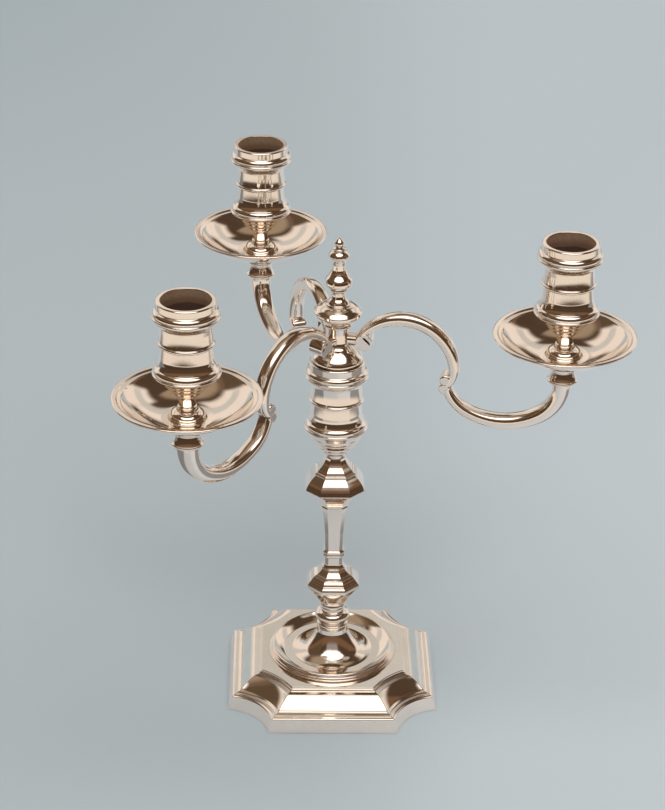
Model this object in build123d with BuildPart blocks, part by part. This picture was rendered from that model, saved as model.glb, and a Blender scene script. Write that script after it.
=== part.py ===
from build123d import *
from itertools import pairwise
from math import cos, pi, sin, sqrt
import os

# A three-light candelabrum: a square-footed table candlestick, and a three-armed branch whose
# spigot drops into the candlestick's own sconce. Millimetres, +Z up. The origin is the centre of
# the foot, on the table. The foot's straight sides lie along X and Y.

# Heights of the seats where one piece of the stem stands on the next
FOOT_TOP = 31.0
RING_TOP = 42.6
KNOP_TOP = 66.8
SHAFT_TOP = 102.6
SHOULDER_TOP = 130.0
STICK_RIM = 182.4

# The incurved square foot
FOOT_WIDTH = 105.5
CORNER_CUT = 20.55
CORNER_RADIUS = 24.0
PLATFORM = 16.5

# The knops and shaft are squares with cut corners: these are face width over overall width
KNOP_SHARE = 0.45
SHAFT_SHARE = 0.62
SHOULDER_SHARE = 0.52

# The sconces take a 22 mm candle, and the main one takes the branch's spigot
BORE_RADIUS = 11.5
CANDLE_DEPTH = 17.5
SOCKET_DEPTH = 22.0
SPIGOT_RADIUS = 11.42
SPIGOT_LENGTH = 21.2
RIM_RADIUS = 13.55

# The branch
BRANCH_GAP = 0.5
HUB_TOP = 201.0
CAP_TOP = 212.4
ARM_REACH = 108.8
ARM_END = 181.0
COLLAR_TOP = 193.8
PAN_RADIUS = 34.3
BOSS_TOP = 200.3
LIGHT_RIM = 253.5
ARMS = {"right": -9.5, "rear": 110.5, "left": 230.5}

# Threaded rods and studs, drawn as plain shafts, in holes a little wider
ROD_RADIUS = 2.0
STUD_RADIUS = 1.5
SLACK = 0.05

# Longer than any block that is cut from crossed prisms
REACH = 80.0

os.makedirs("parts", exist_ok=True)


def outline(points, lift=0.0, widen=1.0):
    """Draws lines through (across, up) points. A third number bows the stretch that arrives at
    its point: to the right of the way it is drawn when positive, to the left when negative."""
    placed = [(p[0] * widen, p[1] + lift, *p[2:]) for p in points]
    for start, stop in pairwise(placed):
        if len(stop) > 2:
            SagittaArc(start[:2], stop[:2], -stop[2])
        else:
            Line(start[:2], stop[:2])


def half_section(points, lift=0.0, widen=1.0):
    """The flat region between a profile drawn from bottom to top and the upright axis."""
    with BuildSketch() as section:
        with BuildLine():
            outline(points, lift, widen)
            low, high = points[0], points[-1]
            close = [high[:2], (0.0, high[1]), (0.0, low[1]), low[:2]]
            outline([p for i, p in enumerate(close) if i == 0 or p != close[i - 1]], lift, widen)
        make_face()
    return section.sketch


def full_section(points, lift=0.0, widen=1.0):
    """The same region on both sides of the axis."""
    with BuildSketch() as section:
        add(half_section(points, lift, widen))
        mirror(about=Plane.YZ)
    return section.sketch


def turned(points, lift=0.0):
    """A solid turned about the upright axis."""
    with BuildPart() as solid:
        with BuildSketch(Plane.XZ):
            add(half_section(points, lift))
        revolve(axis=Axis.Z)
    return solid.part


def prism(points, turn, lift=0.0, widen=1.0):
    """The full section drawn out long to both sides, and turned about the upright axis."""
    with BuildPart() as solid:
        with BuildSketch(Plane.XZ.rotated((0, 0, turn))):
            add(full_section(points, lift, widen))
        extrude(amount=REACH, both=True)
    return solid.part


def faceted(points, share, lift):
    """A square bar with cut corners that carries one profile round all eight faces."""
    widen = (1 + share) / sqrt(2)
    with BuildPart() as solid:
        add(prism(points, 0, lift))
        add(prism(points, 90, lift), mode=Mode.INTERSECT)
        add(prism(points, 45, lift, widen), mode=Mode.INTERSECT)
        add(prism(points, 135, lift, widen), mode=Mode.INTERSECT)
    return solid.part


def incurved(points):
    """A square block with concave corners that carries one profile round sides and corners."""
    reach = sqrt(2 * CORNER_RADIUS**2 - CORNER_CUT**2)
    corner = FOOT_WIDTH / 2 + (reach - CORNER_CUT) / 2
    scoop = [(CORNER_RADIUS + FOOT_WIDTH / 2 - p[0], p[1], *[-b for b in p[2:]]) for p in points]
    with BuildPart() as solid:
        add(prism(points, 0))
        add(prism(points, 90), mode=Mode.INTERSECT)
        with Locations(*[(x, y) for x in (-corner, corner) for y in (-corner, corner)]):
            add(turned(scoop), mode=Mode.SUBTRACT)
    return solid.part


def round_bar(radius, low, high):
    """A plain round bar on the upright axis, for a rod or for the hole it goes through."""
    with BuildPart(Plane.XY.offset(low)) as bar:
        Cylinder(radius, high - low, align=(Align.CENTER, Align.CENTER, Align.MIN))
    return bar.part


def finish(name, piece):
    """Labels a finished piece and writes it to its own file."""
    piece.part.label = name
    export_step(piece.part, f"parts/{name}.step")


# ---------------------------------------------------------------- the foot

# Half width and height, from the table up to the flat platform
FOOT_STEPS = [
    (52.75, 0.0),
    (52.75, 0.5),
    (50.9, 6.8),
    (50.2, 7.4, 0.15),
    (49.3, 7.6),
    (49.1, 8.2),
    (46.4, 8.9, -0.25),
    (46.2, 9.3),
    (39.8, 14.5, 0.3),
    (37.1, 14.7),
    (37.0, 15.5),
    (36.1, 15.6),
    (35.9, PLATFORM),
]
# The foot is cast hollow, and the baize pad closes it
FOOT_HOLLOW = [(50.4, 0.0), (49.6, 3.0), (49.0, 5.8), (44.6, 7.2), (39.0, 12.2), (34.0, 13.4)]
WELL_RIM = [
    (32.2, 13.4),
    (32.2, 17.3),
    (31.5, 17.4),
    (31.4, 18.3),
    (30.8, 18.4),
    (30.7, 19.4),
    (29.4, 20.0, 0.45),
]
WELL = [(0.0, 16.9), (20.5, 16.9), (24.5, 17.0), (29.4, 20.0, 0.25), (29.4, 22.0)]
TRUMPET = [
    (20.5, 13.4),
    (20.5, 16.9),
    (16.2, 18.4, -0.2),
    (13.0, 20.9, -0.2),
    (7.9, 28.6, -0.3),
    (7.4, FOOT_TOP),
]
# Where the tie rod's washer bears, under the top of the trumpet
ROD_SEAT = 26.8
TRUMPET_HOLLOW = [(13.0, 13.3), (5.6, 23.5), (5.6, ROD_SEAT)]

with BuildPart() as foot:
    add(incurved(FOOT_STEPS))
    add(turned(WELL_RIM))
    add(turned(WELL), mode=Mode.SUBTRACT)
    add(turned(TRUMPET))
    add(incurved(FOOT_HOLLOW), mode=Mode.SUBTRACT)
    add(turned(TRUMPET_HOLLOW), mode=Mode.SUBTRACT)
    add(round_bar(ROD_RADIUS + SLACK, ROD_SEAT, FOOT_TOP), mode=Mode.SUBTRACT)
finish("foot", foot)

with BuildPart() as baize_pad:
    add(incurved([(50.2, 0.0), (49.9, 1.2)]))
finish("baize_pad", baize_pad)

# ---------------------------------------------------------------- the stem

ROD_LOW = 20.6
ROD_HIGH = 145.0
NUT_ACROSS_FLATS = 7.0
NUT_THICK = 3.2
WASHER_RADIUS = 5.0
WASHER_THICK = 1.0
WASHER_LOW = ROD_SEAT - WASHER_THICK

with BuildPart() as tie_rod:
    add(round_bar(ROD_RADIUS, ROD_LOW, ROD_HIGH))
    chamfer(tie_rod.edges().filter_by(GeomType.CIRCLE), 0.4)
finish("tie_rod", tie_rod)

with BuildPart(Plane.XY.offset(WASHER_LOW)) as rod_washer:
    Cylinder(WASHER_RADIUS, WASHER_THICK, align=(Align.CENTER, Align.CENTER, Align.MIN))
    Hole(ROD_RADIUS + 2 * SLACK)
finish("rod_washer", rod_washer)

with BuildPart() as rod_nut:
    with BuildSketch(Plane.XY.offset(WASHER_LOW - NUT_THICK)):
        RegularPolygon(NUT_ACROSS_FLATS / 2, 6, major_radius=False)
        Circle(ROD_RADIUS, mode=Mode.SUBTRACT)
    extrude(amount=NUT_THICK)
finish("rod_nut", rod_nut)

RING_PROFILE = [
    (7.2, 0.0),
    (7.2, 0.5),
    (7.7, 1.0),
    (7.8, 2.6, 0.2),
    (6.9, 3.2),
    (6.8, 3.7),
    (6.4, 9.7, 2.35),
    (5.9, 10.2),
    (5.9, 11.6),
]
with BuildPart() as foot_ring:
    add(turned(RING_PROFILE, FOOT_TOP))
    add(round_bar(ROD_RADIUS + SLACK, FOOT_TOP, RING_TOP), mode=Mode.SUBTRACT)
finish("foot_ring", foot_ring)

KNOP_NECK = [(6.0, 0.0), (6.4, 2.6, 0.5), (6.2, 3.4)]
KNOP_FACES = [
    (6.2, 3.2),
    (6.9, 4.9, -0.1),
    (12.4, 13.3, -0.3),
    (13.0, 13.8),
    (13.0, 15.3),
    (12.0, 16.7, 0.1),
    (11.8, 17.2),
    (11.4, 17.4),
    (10.2, 19.1, 0.1),
    (9.8, 19.4),
    (9.7, 19.8),
    (5.5, 23.4, -0.5),
    (5.7, 23.8, 0.1),
    (5.4, KNOP_TOP - RING_TOP),
]
with BuildPart() as lower_knop:
    add(turned(KNOP_NECK, RING_TOP))
    add(faceted(KNOP_FACES, KNOP_SHARE, RING_TOP))
    add(round_bar(ROD_RADIUS + SLACK, RING_TOP, KNOP_TOP), mode=Mode.SUBTRACT)
finish("lower_knop", lower_knop)

SHAFT_FACES = [
    (5.3, 0.0),
    (4.3, 3.4, -0.3),
    (4.2, 6.0),
    (5.0, 6.5),
    (5.2, 7.5, 0.1),
    (5.0, 8.3, 0.1),
    (5.2, 8.7),
    (5.1, 9.7, 0.15),
    (4.3, 10.3),
    (4.6, 20.0, -0.1),
    (5.7, 31.7, -0.2),
    (6.5, SHAFT_TOP - KNOP_TOP, -0.05),
]
with BuildPart() as stem_shaft:
    add(faceted(SHAFT_FACES, SHAFT_SHARE, KNOP_TOP))
    add(round_bar(ROD_RADIUS + SLACK, KNOP_TOP, SHAFT_TOP), mode=Mode.SUBTRACT)
finish("stem_shaft", stem_shaft)

SHOULDER_FACES = [
    (6.5, 0.0),
    (14.2, 10.6, -1.3),
    (14.5, 11.1),
    (9.7, 18.5, 0.73),
    (9.9, 18.8),
    (9.3, 20.0, 0.3),
    (8.7, 20.1),
    (7.3, 22.1, 0.15),
    (7.0, 22.4),
    (4.9, 26.0, -0.2),
    (4.6, SHOULDER_TOP - SHAFT_TOP),
]
with BuildPart() as shoulder_knop:
    add(faceted(SHOULDER_FACES, SHOULDER_SHARE, SHAFT_TOP))
    add(round_bar(ROD_RADIUS + SLACK, SHAFT_TOP, SHOULDER_TOP), mode=Mode.SUBTRACT)
finish("shoulder_knop", shoulder_knop)

# ---------------------------------------------------------------- the sconces


def sconce_wall(waist, ring):
    """The spool-shaped outside of a sconce, with heights counted from its rim."""
    return [
        (14.5, -36.9),
        (15.4, -36.3),
        (15.6, -35.2, 0.15),
        (15.0, -34.8),
        (14.0, -32.2, 0.5),
        (13.7, -32.0),
        (waist + 0.3, -27.0, -0.35),
        (waist - 0.15, -21.8, -0.03),
        (ring, -21.2),
        (ring, -20.0, 0.15),
        (ring - 0.5, -19.7),
        (ring - 0.7, -19.0),
        (waist + 0.1, -14.5, -0.05),
        (waist + 0.1, -12.2),
        (14.2, -9.0, -0.35),
        (15.3, -8.5),
        (15.5, -7.2, 0.15),
        (14.9, -6.8),
        (13.9, -3.9, 0.75),
        (RIM_RADIUS, -3.6),
        (RIM_RADIUS, -0.4),
        (RIM_RADIUS - 0.4, 0.0),
    ]


MAIN_BOWL = [
    (4.7, SHOULDER_TOP - STICK_RIM),
    (4.7, -51.0),
    (5.6, -49.9, -0.1),
    (7.7, -48.5),
    (7.9, -47.6),
    (9.5, -46.0),
    (9.7, -45.1),
    (11.5, -42.9),
    (11.8, -42.0),
    (13.2, -39.4, 0.25),
]
with BuildPart() as main_sconce:
    add(turned(MAIN_BOWL + sconce_wall(12.2, 13.4), STICK_RIM))
    add(round_bar(BORE_RADIUS, STICK_RIM - SOCKET_DEPTH, STICK_RIM), mode=Mode.SUBTRACT)
    add(round_bar(ROD_RADIUS, SHOULDER_TOP, ROD_HIGH), mode=Mode.SUBTRACT)
    rim_edges = main_sconce.edges().filter_by(GeomType.CIRCLE).group_by(Axis.Z)[-1]
    chamfer(rim_edges.sort_by(SortBy.RADIUS)[0], 0.3)
finish("main_sconce", main_sconce)

# ---------------------------------------------------------------- the branch's centre

PLATE_THICK = 1.4
TUBE_THICK = 1.2
HUB_LOW = STICK_RIM + BRANCH_GAP
SPIGOT_LOW = STICK_RIM - SPIGOT_LENGTH
SPIGOT_TOP = HUB_LOW + 2.0
PLATE_LOW = SPIGOT_TOP - PLATE_THICK
BRANCH_ROD_LOW = PLATE_LOW - 4.5
BRANCH_ROD_HIGH = CAP_TOP + 6.0
SPIGOT_NUT_ACROSS_FLATS = 5.5
SPIGOT_NUT_THICK = 2.6

with BuildPart() as spigot:
    add(round_bar(SPIGOT_RADIUS, SPIGOT_LOW, SPIGOT_TOP))
    chamfer(spigot.edges().filter_by(GeomType.CIRCLE).sort_by(Axis.Z)[0], 0.5)
    add(round_bar(SPIGOT_RADIUS - TUBE_THICK, SPIGOT_LOW, PLATE_LOW), mode=Mode.SUBTRACT)
    add(round_bar(STUD_RADIUS + SLACK, PLATE_LOW, SPIGOT_TOP), mode=Mode.SUBTRACT)
finish("spigot", spigot)

HUB_PROFILE = [
    (12.0, HUB_LOW),
    (12.5, HUB_LOW + 0.5),
    (11.5, HUB_LOW + 3.3, 0.25),
    (7.0, HUB_LOW + 7.5, 0.25),
    (5.4, HUB_LOW + 10.6, -0.35),
    (5.2, 197.5),
    (5.6, HUB_TOP, -0.1),
]
with BuildPart() as branch_hub:
    add(turned(HUB_PROFILE))
    add(round_bar(BORE_RADIUS, HUB_LOW, SPIGOT_TOP), mode=Mode.SUBTRACT)
    add(round_bar(STUD_RADIUS + SLACK, SPIGOT_TOP, HUB_TOP), mode=Mode.SUBTRACT)
finish("branch_hub", branch_hub)

CAP_PROFILE = [
    (5.9, HUB_TOP),
    (6.8, 201.4),
    (6.9, 202.5, 0.15),
    (6.6, 202.8),
    (8.3, 204.4, 0.15),
    (11.1, 206.9, -0.2),
    (11.6, 207.4),
    (11.6, 209.3, 0.1),
    (11.2, 209.6),
    (6.3, CAP_TOP, 0.6),
]
with BuildPart() as hub_cap:
    add(turned(CAP_PROFILE))
    add(round_bar(STUD_RADIUS + SLACK, HUB_TOP, CAP_TOP), mode=Mode.SUBTRACT)
finish("hub_cap", hub_cap)

with BuildPart() as branch_rod:
    add(round_bar(STUD_RADIUS, BRANCH_ROD_LOW, BRANCH_ROD_HIGH))
    chamfer(branch_rod.edges().filter_by(GeomType.CIRCLE), 0.3)
finish("branch_rod", branch_rod)

with BuildPart() as spigot_nut:
    with BuildSketch(Plane.XY.offset(PLATE_LOW - SPIGOT_NUT_THICK)):
        RegularPolygon(SPIGOT_NUT_ACROSS_FLATS / 2, 6, major_radius=False)
        Circle(STUD_RADIUS, mode=Mode.SUBTRACT)
    extrude(amount=SPIGOT_NUT_THICK)
finish("spigot_nut", spigot_nut)

FINIAL_PROFILE = [
    (5.9, CAP_TOP),
    (5.9, CAP_TOP + 0.6, 0.1),
    (5.2, CAP_TOP + 0.9),
    (5.0, 213.8),
    (3.6, 215.8, 0.15),
    (3.3, 217.0),
    (3.4, 219.4, -0.1),
    (4.2, 219.8),
    (4.3, 220.8, 0.15),
    (4.0, 221.3),
    (6.65, 223.9, 0.85),
    (5.5, 227.0, 0.35),
    (3.3, 230.6, -0.25),
    (3.2, 232.5),
    (4.5, 236.9, -0.4),
    (4.9, 237.2),
    (4.9, 238.3, 0.1),
    (2.7, 240.6, 0.35),
    (3.1, 240.9),
    (3.1, 241.7, 0.1),
    (1.6, 242.3),
    (1.5, 245.7, 0.82),
    (0.5, 246.6, 0.15),
    (0.0, 246.7),
]
BUSH_RADIUS = 2.4
BUSH_TOP = 216.4
with BuildPart() as finial:
    add(turned(FINIAL_PROFILE))
    add(round_bar(BUSH_RADIUS, CAP_TOP, BUSH_TOP), mode=Mode.SUBTRACT)
    add(round_bar(STUD_RADIUS + SLACK, BUSH_TOP, BRANCH_ROD_HIGH + 0.6), mode=Mode.SUBTRACT)
finish("finial", finial)

with BuildPart() as finial_bush:
    add(round_bar(BUSH_RADIUS - SLACK, CAP_TOP + 0.1, BUSH_TOP - SLACK))
    add(round_bar(STUD_RADIUS + SLACK, CAP_TOP, BUSH_TOP), mode=Mode.SUBTRACT)
finish("finial_bush", finial_bush)

# ---------------------------------------------------------------- the arms

# In an arm's own upright plane: across is the distance from the branch's axis, up is height
ARCH_CENTRE = (31.5, 181.9)
ARCH_RADIUS = 25.2
VOLUTE_CENTRE = (13.2, 194.4)
VOLUTE_RADIUS = 4.2
VOLUTE_HALF_WIDTH = 3.9
VOLUTE_NOTCH = [(-1.2, 2.9), (2.6, 2.5), (3.0, -1.2)]
NOTCH_DEPTH = 1.2
UPPER_CURL = (53.0, 177.5)
LOWER_CURL = (52.7, 173.1)
CURL_RADIUS = 2.8
CURL_HALF_WIDTH = 3.8
ARCH_HALF_WIDTH = 3.8
# The block that joins an arm's volute to the hub: across, wide and high
ROOT_MIDDLE = 7.2
ROOT_SIZE = (6.2, 6.4, 5.6)
SCROLL_STATIONS = 16


def scroll_solid(path, thick, wide):
    """A solid drawn along a path in the XZ plane, oval in section; thick and wide are half sizes."""
    with BuildPart() as solid:
        for step in range(SCROLL_STATIONS + 1):
            t = step / SCROLL_STATIONS
            with BuildSketch(Plane(origin=path @ t, x_dir=(0, 1, 0), z_dir=path % t)):
                Ellipse(wide(t), thick(t))
        loft()
    return solid.part


with BuildLine(Plane.XZ) as arch_line:
    CenterArc(ARCH_CENTRE, ARCH_RADIUS, 148.0, -151.2)
    JernArc(arch_line.line @ 1, arch_line.line % 1, 8.0, -60.0)

with BuildLine(Plane.XZ) as swan_line:
    Line((ARM_REACH, ARM_END), (ARM_REACH, ARM_END - 1.2))
    JernArc(swan_line.line @ 1, swan_line.line % 1, 20.7, -57.6)
    JernArc(swan_line.line @ 1, swan_line.line % 1, 35.0, -63.4)
    JernArc(swan_line.line @ 1, swan_line.line % 1, 20.0, -41.0)


def arch_thick(t):
    """Half thickness of the upper scroll from the volute to its curl."""
    return 1.6 + 1.9 * sin(pi * t) ** 0.6


def swan_thick(t):
    """Half thickness of the lower scroll from under the collar to its curl."""
    return 4.4 - 1.9 * t + 0.35 * sin(pi * t)


def swan_wide(t):
    """Half width of the lower scroll, broad under the collar and even towards its curl."""
    return 5.4 - 1.5 * sqrt(t)


with BuildPart() as arm_pattern:
    add(scroll_solid(arch_line.wire(), arch_thick, lambda t: ARCH_HALF_WIDTH))
    add(scroll_solid(swan_line.wire(), swan_thick, swan_wide))
    with Locations((VOLUTE_CENTRE[0], 0, VOLUTE_CENTRE[1])):
        Cylinder(VOLUTE_RADIUS, 2 * VOLUTE_HALF_WIDTH, rotation=(90, 0, 0))
    for curl in (UPPER_CURL, LOWER_CURL):
        with Locations((curl[0], 0, curl[1])):
            Cylinder(CURL_RADIUS, 2 * CURL_HALF_WIDTH, rotation=(90, 0, 0))
    with Locations((ROOT_MIDDLE, 0, VOLUTE_CENTRE[1])):
        Box(*ROOT_SIZE)
    for face in (-1, 1):
        with BuildSketch(Plane.XZ.offset(face * VOLUTE_HALF_WIDTH)):
            with Locations(VOLUTE_CENTRE):
                Polygon(*VOLUTE_NOTCH, align=None)
        extrude(amount=-face * NOTCH_DEPTH, mode=Mode.SUBTRACT)
    add(branch_hub.part, mode=Mode.SUBTRACT)

COLLAR_PROFILE = [
    (5.6, ARM_END),
    (6.9, 181.2),
    (7.4, 181.8),
    (7.4, 182.6, 0.1),
    (6.9, 183.0),
    (5.4, 187.1, -0.2),
    (6.0, 187.6),
    (6.1, 188.9, 0.1),
    (5.8, 189.2),
    (5.8, 189.9),
    (6.1, 190.2),
    (6.1, 191.4, 0.1),
    (5.8, 191.7),
    (6.6, COLLAR_TOP, -0.15),
]
with BuildPart() as collar_pattern:
    add(turned(COLLAR_PROFILE))
    add(round_bar(STUD_RADIUS + SLACK, 187.0, COLLAR_TOP), mode=Mode.SUBTRACT)

# The pan's outline runs out along its underside and back along its dished face to the boss
PAN_OUTLINE = [
    (0.0, COLLAR_TOP),
    (12.4, COLLAR_TOP),
    (30.4, 203.7, 1.7),
    (33.7, 204.6),
    (PAN_RADIUS, 205.2, 0.1),
    (33.8, 205.9, 0.15),
    (32.0, 205.8),
    (31.6, 205.2),
    (29.9, 205.0),
    (29.4, 204.3),
    (12.0, 195.2, -1.7),
    (8.9, 195.0),
    (8.3, 195.9, 0.1),
    (4.9, 199.2, 0.9),
    (4.4, BOSS_TOP),
    (0.0, BOSS_TOP),
    (0.0, COLLAR_TOP),
]
with BuildPart() as pan_pattern:
    with BuildSketch(Plane.XZ):
        with BuildLine():
            outline(PAN_OUTLINE)
        make_face()
    revolve(axis=Axis.Z)
    add(round_bar(STUD_RADIUS + SLACK, COLLAR_TOP, BOSS_TOP), mode=Mode.SUBTRACT)

LIGHT_BOWL = [
    (4.2, BOSS_TOP - LIGHT_RIM),
    (4.5, -52.2, 0.1),
    (3.8, -51.7),
    (3.9, -48.8),
    (5.2, -46.6, -0.3),
    (6.3, -46.0),
    (6.5, -45.2),
    (8.7, -43.0),
    (8.9, -42.2),
    (11.3, -40.0),
    (11.6, -39.2),
    (13.6, -37.4),
]
STUD_LOW = COLLAR_TOP - 6.0
STUD_HIGH = 214.0
with BuildPart() as sconce_pattern:
    add(turned(LIGHT_BOWL + sconce_wall(11.7, 12.9), LIGHT_RIM))
    add(round_bar(BORE_RADIUS, LIGHT_RIM - CANDLE_DEPTH, LIGHT_RIM), mode=Mode.SUBTRACT)
    add(round_bar(STUD_RADIUS + SLACK, BOSS_TOP, STUD_HIGH + 0.3), mode=Mode.SUBTRACT)

with BuildPart() as stud_pattern:
    add(round_bar(STUD_RADIUS, STUD_LOW, STUD_HIGH))
    chamfer(stud_pattern.edges().filter_by(GeomType.CIRCLE), 0.3)

# Each pattern piece is cast three times and set round the hub
for side, angle in ARMS.items():
    with BuildPart() as arm:
        add(arm_pattern.part, rotation=(0, 0, angle))
    finish(f"arm_{side}", arm)
    spot = (ARM_REACH * cos(angle * pi / 180), ARM_REACH * sin(angle * pi / 180))
    for word, pattern in (
        ("arm_collar", collar_pattern),
        ("drip_pan", pan_pattern),
        ("sconce", sconce_pattern),
        ("sconce_stud", stud_pattern),
    ):
        with BuildPart() as light_piece:
            with Locations(spot):
                add(pattern.part)
        finish(f"{word}_{side}", light_piece)
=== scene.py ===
import bpy
from math import atan2, ceil, copysign, cos, degrees, hypot, pi, radians, sin, sqrt
from mathutils import Matrix, Vector
from mathutils.geometry import tessellate_polygon


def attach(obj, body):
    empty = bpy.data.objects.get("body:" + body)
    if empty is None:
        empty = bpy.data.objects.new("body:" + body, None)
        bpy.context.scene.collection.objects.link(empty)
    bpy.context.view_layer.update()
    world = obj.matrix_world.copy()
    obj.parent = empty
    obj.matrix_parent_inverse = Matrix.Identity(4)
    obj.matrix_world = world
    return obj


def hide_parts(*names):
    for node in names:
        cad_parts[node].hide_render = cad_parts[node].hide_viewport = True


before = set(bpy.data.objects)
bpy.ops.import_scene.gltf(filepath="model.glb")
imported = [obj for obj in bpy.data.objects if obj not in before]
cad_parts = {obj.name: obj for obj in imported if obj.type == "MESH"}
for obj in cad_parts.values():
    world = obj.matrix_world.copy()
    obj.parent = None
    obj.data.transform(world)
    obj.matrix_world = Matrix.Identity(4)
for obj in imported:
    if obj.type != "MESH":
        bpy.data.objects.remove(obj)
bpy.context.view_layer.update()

# Shapes below are given in millimetres and turned into metres when a mesh is made
MM = 0.001

FOOT_TOP = 31.0
RING_TOP = 42.6
KNOP_TOP = 66.8
SHAFT_TOP = 102.6
SHOULDER_TOP = 130.0
STICK_RIM = 182.4
FOOT_WIDTH = 105.5
CORNER_CUT = 20.55
CORNER_RADIUS = 24.0
PLATFORM = 16.5
KNOP_SHARE = 0.45
SHAFT_SHARE = 0.62
SHOULDER_SHARE = 0.52
BORE_RADIUS = 11.5
CANDLE_DEPTH = 17.5
SOCKET_DEPTH = 22.0
RIM_RADIUS = 13.55
HUB_LOW = STICK_RIM + 0.5
HUB_TOP = 201.0
CAP_TOP = 212.4
ARM_REACH = 108.8
ARM_END = 181.0
COLLAR_TOP = 193.8
PAN_RADIUS = 34.3
BOSS_TOP = 200.3
LIGHT_RIM = 253.5
ARMS = {"right": -9.5, "rear": 110.5, "left": 230.5}

# ------------------------------------------------------------------ profiles into stations


class Piece:
    """One straight or bowed stretch of a profile, positive bow to the right of travel."""

    def __init__(self, start, stop, bow):
        self.start = Vector(start)
        self.stop = Vector(stop)
        chord = self.stop - self.start
        self.length = chord.length
        self.along = chord / self.length
        self.right = Vector((self.along.y, -self.along.x))
        self.bow = bow
        self.half = 2 * atan2(2 * abs(bow), self.length) if bow else 0.0

    def at(self, t):
        """Position and unit direction at a share t of the stretch."""
        if not self.half:
            return self.start.lerp(self.stop, t), self.along.copy()
        radius = self.length / 2 / sin(self.half)
        turn = self.half * (2 * t - 1)
        side = 1 if self.bow > 0 else -1
        out = radius * (cos(turn) - cos(self.half))
        middle = (self.start + self.stop) / 2
        place = middle + self.along * radius * sin(turn) + self.right * side * out
        return place, self.along * cos(turn) - self.right * side * sin(turn)


def stations(points, lift=0.0, round_off=0.28, close=False, fine=5.0):
    """Places and directions along a profile, its corners rounded off by a small curve."""
    placed = [(p[0], p[1] + lift, p[2] if len(p) > 2 else 0.0) for p in points]
    pieces = []
    for a, b in zip(placed, placed[1:]):
        if hypot(b[0] - a[0], b[1] - a[1]) > 1e-6:
            pieces.append(Piece(a[:2], b[:2], b[2]))
    count = len(pieces)
    trims = []
    for i, piece in enumerate(pieces):
        after = pieces[(i + 1) % count]
        turn = piece.at(1)[1].angle(after.at(0)[1])
        if (i == count - 1 and not close) or turn < radians(6):
            trims.append(0.0)
        else:
            trims.append(min(round_off, 0.4 * piece.length, 0.4 * after.length))
    found = []
    for i, piece in enumerate(pieces):
        low = trims[i - 1] / piece.length if i or close else 0.0
        high = 1 - trims[i] / piece.length
        steps = max(1, ceil(degrees(2 * piece.half) / fine))
        for k in range(steps + 1):
            found.append(piece.at(low + (high - low) * k / steps))
        if trims[i]:
            after = pieces[(i + 1) % count]
            a = found[-1][0]
            b = piece.stop
            c = after.at(trims[i] / after.length)[0]
            for t in (0.25, 0.5, 0.75):
                place = a * (1 - t) ** 2 + b * 2 * t * (1 - t) + c * t**2
                way = (b - a) * (1 - t) + (c - b) * t
                found.append((place, way.normalized()))
    return found


# ------------------------------------------------------------------ sections


def round_section(steps):
    """A circle, as unit places and outward directions."""

    def section(w):
        turns = [2 * pi * k / steps for k in range(steps)]
        return [(w * cos(a), w * sin(a), a, 1.0) for a in turns]

    return section


def octagon_section(edge, face_share, steps=4, along=3):
    """A square with cut corners, its eight edges rounded off by the radius edge."""
    share = (1 + face_share) / sqrt(2)

    def section(w):
        soft = min(edge, 0.12 * w)
        corners = []
        for k in range(8):
            a, b = k * pi / 4, (k + 1) * pi / 4
            ka, kb = (share, 1.0) if k % 2 else (1.0, share)
            da, db = ka * w - soft, kb * w - soft
            det = cos(a) * sin(b) - sin(a) * cos(b)
            cx = (da * sin(b) - db * sin(a)) / det
            cy = (db * cos(a) - da * cos(b)) / det
            corners.append((cx, cy, a, b, ka, kb, soft))
        found = []
        for k, (cx, cy, a, b, ka, kb, soft) in enumerate(corners):
            for s in range(steps + 1):
                t = s / steps
                turn = a + (b - a) * t
                found.append((cx + soft * cos(turn), cy + soft * sin(turn), turn, ka + (kb - ka) * t))
            nxt = corners[(k + 1) % 8]
            x0, y0 = cx + soft * cos(b), cy + soft * sin(b)
            x1, y1 = nxt[0] + nxt[6] * cos(b), nxt[1] + nxt[6] * sin(b)
            for s in range(1, along + 1):
                t = s / (along + 1)
                found.append((x0 + (x1 - x0) * t, y0 + (y1 - y0) * t, b, kb))
        return found

    return section


def incurved_section(edge, straight=10, scoop=22, tip=5):
    """A square with concave corners, offset inwards as its half width w shrinks."""
    reach = sqrt(2 * CORNER_RADIUS**2 - CORNER_CUT**2)
    centre = FOOT_WIDTH / 2 + (reach - CORNER_CUT) / 2

    def section(w):
        hollow = CORNER_RADIUS + FOOT_WIDTH / 2 - w
        inner = centre - w + edge
        tip_x = centre - sqrt((hollow + edge) ** 2 - inner**2)
        tip_turn = atan2(-inner, centre - tip_x)
        quarter = []
        for s in range(straight):
            t = s / straight
            quarter.append((tip_x * (2 * t - 1), -w, -pi / 2))
        for s in range(tip + 1):
            turn = -pi / 2 + (tip_turn + pi / 2) * s / tip
            quarter.append((tip_x + edge * cos(turn), -(w - edge) + edge * sin(turn), turn))
        last = -pi / 2 - tip_turn
        for s in range(1, scoop):
            turn = tip_turn + (last - tip_turn) * s / scoop
            quarter.append((centre - hollow * cos(turn), -centre - hollow * sin(turn), turn))
        for s in range(tip + 1):
            turn = last + (0 - last) * s / tip
            quarter.append(((w - edge) + edge * cos(turn), -tip_x + edge * sin(turn), turn))
        found = []
        for k in range(4):
            c, s = cos(k * pi / 2), sin(k * pi / 2)
            for x, y, a in quarter:
                found.append((x * c - y * s, x * s + y * c, a + k * pi / 2, 1.0))
        return found

    return section


# ------------------------------------------------------------------ meshes


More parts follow.
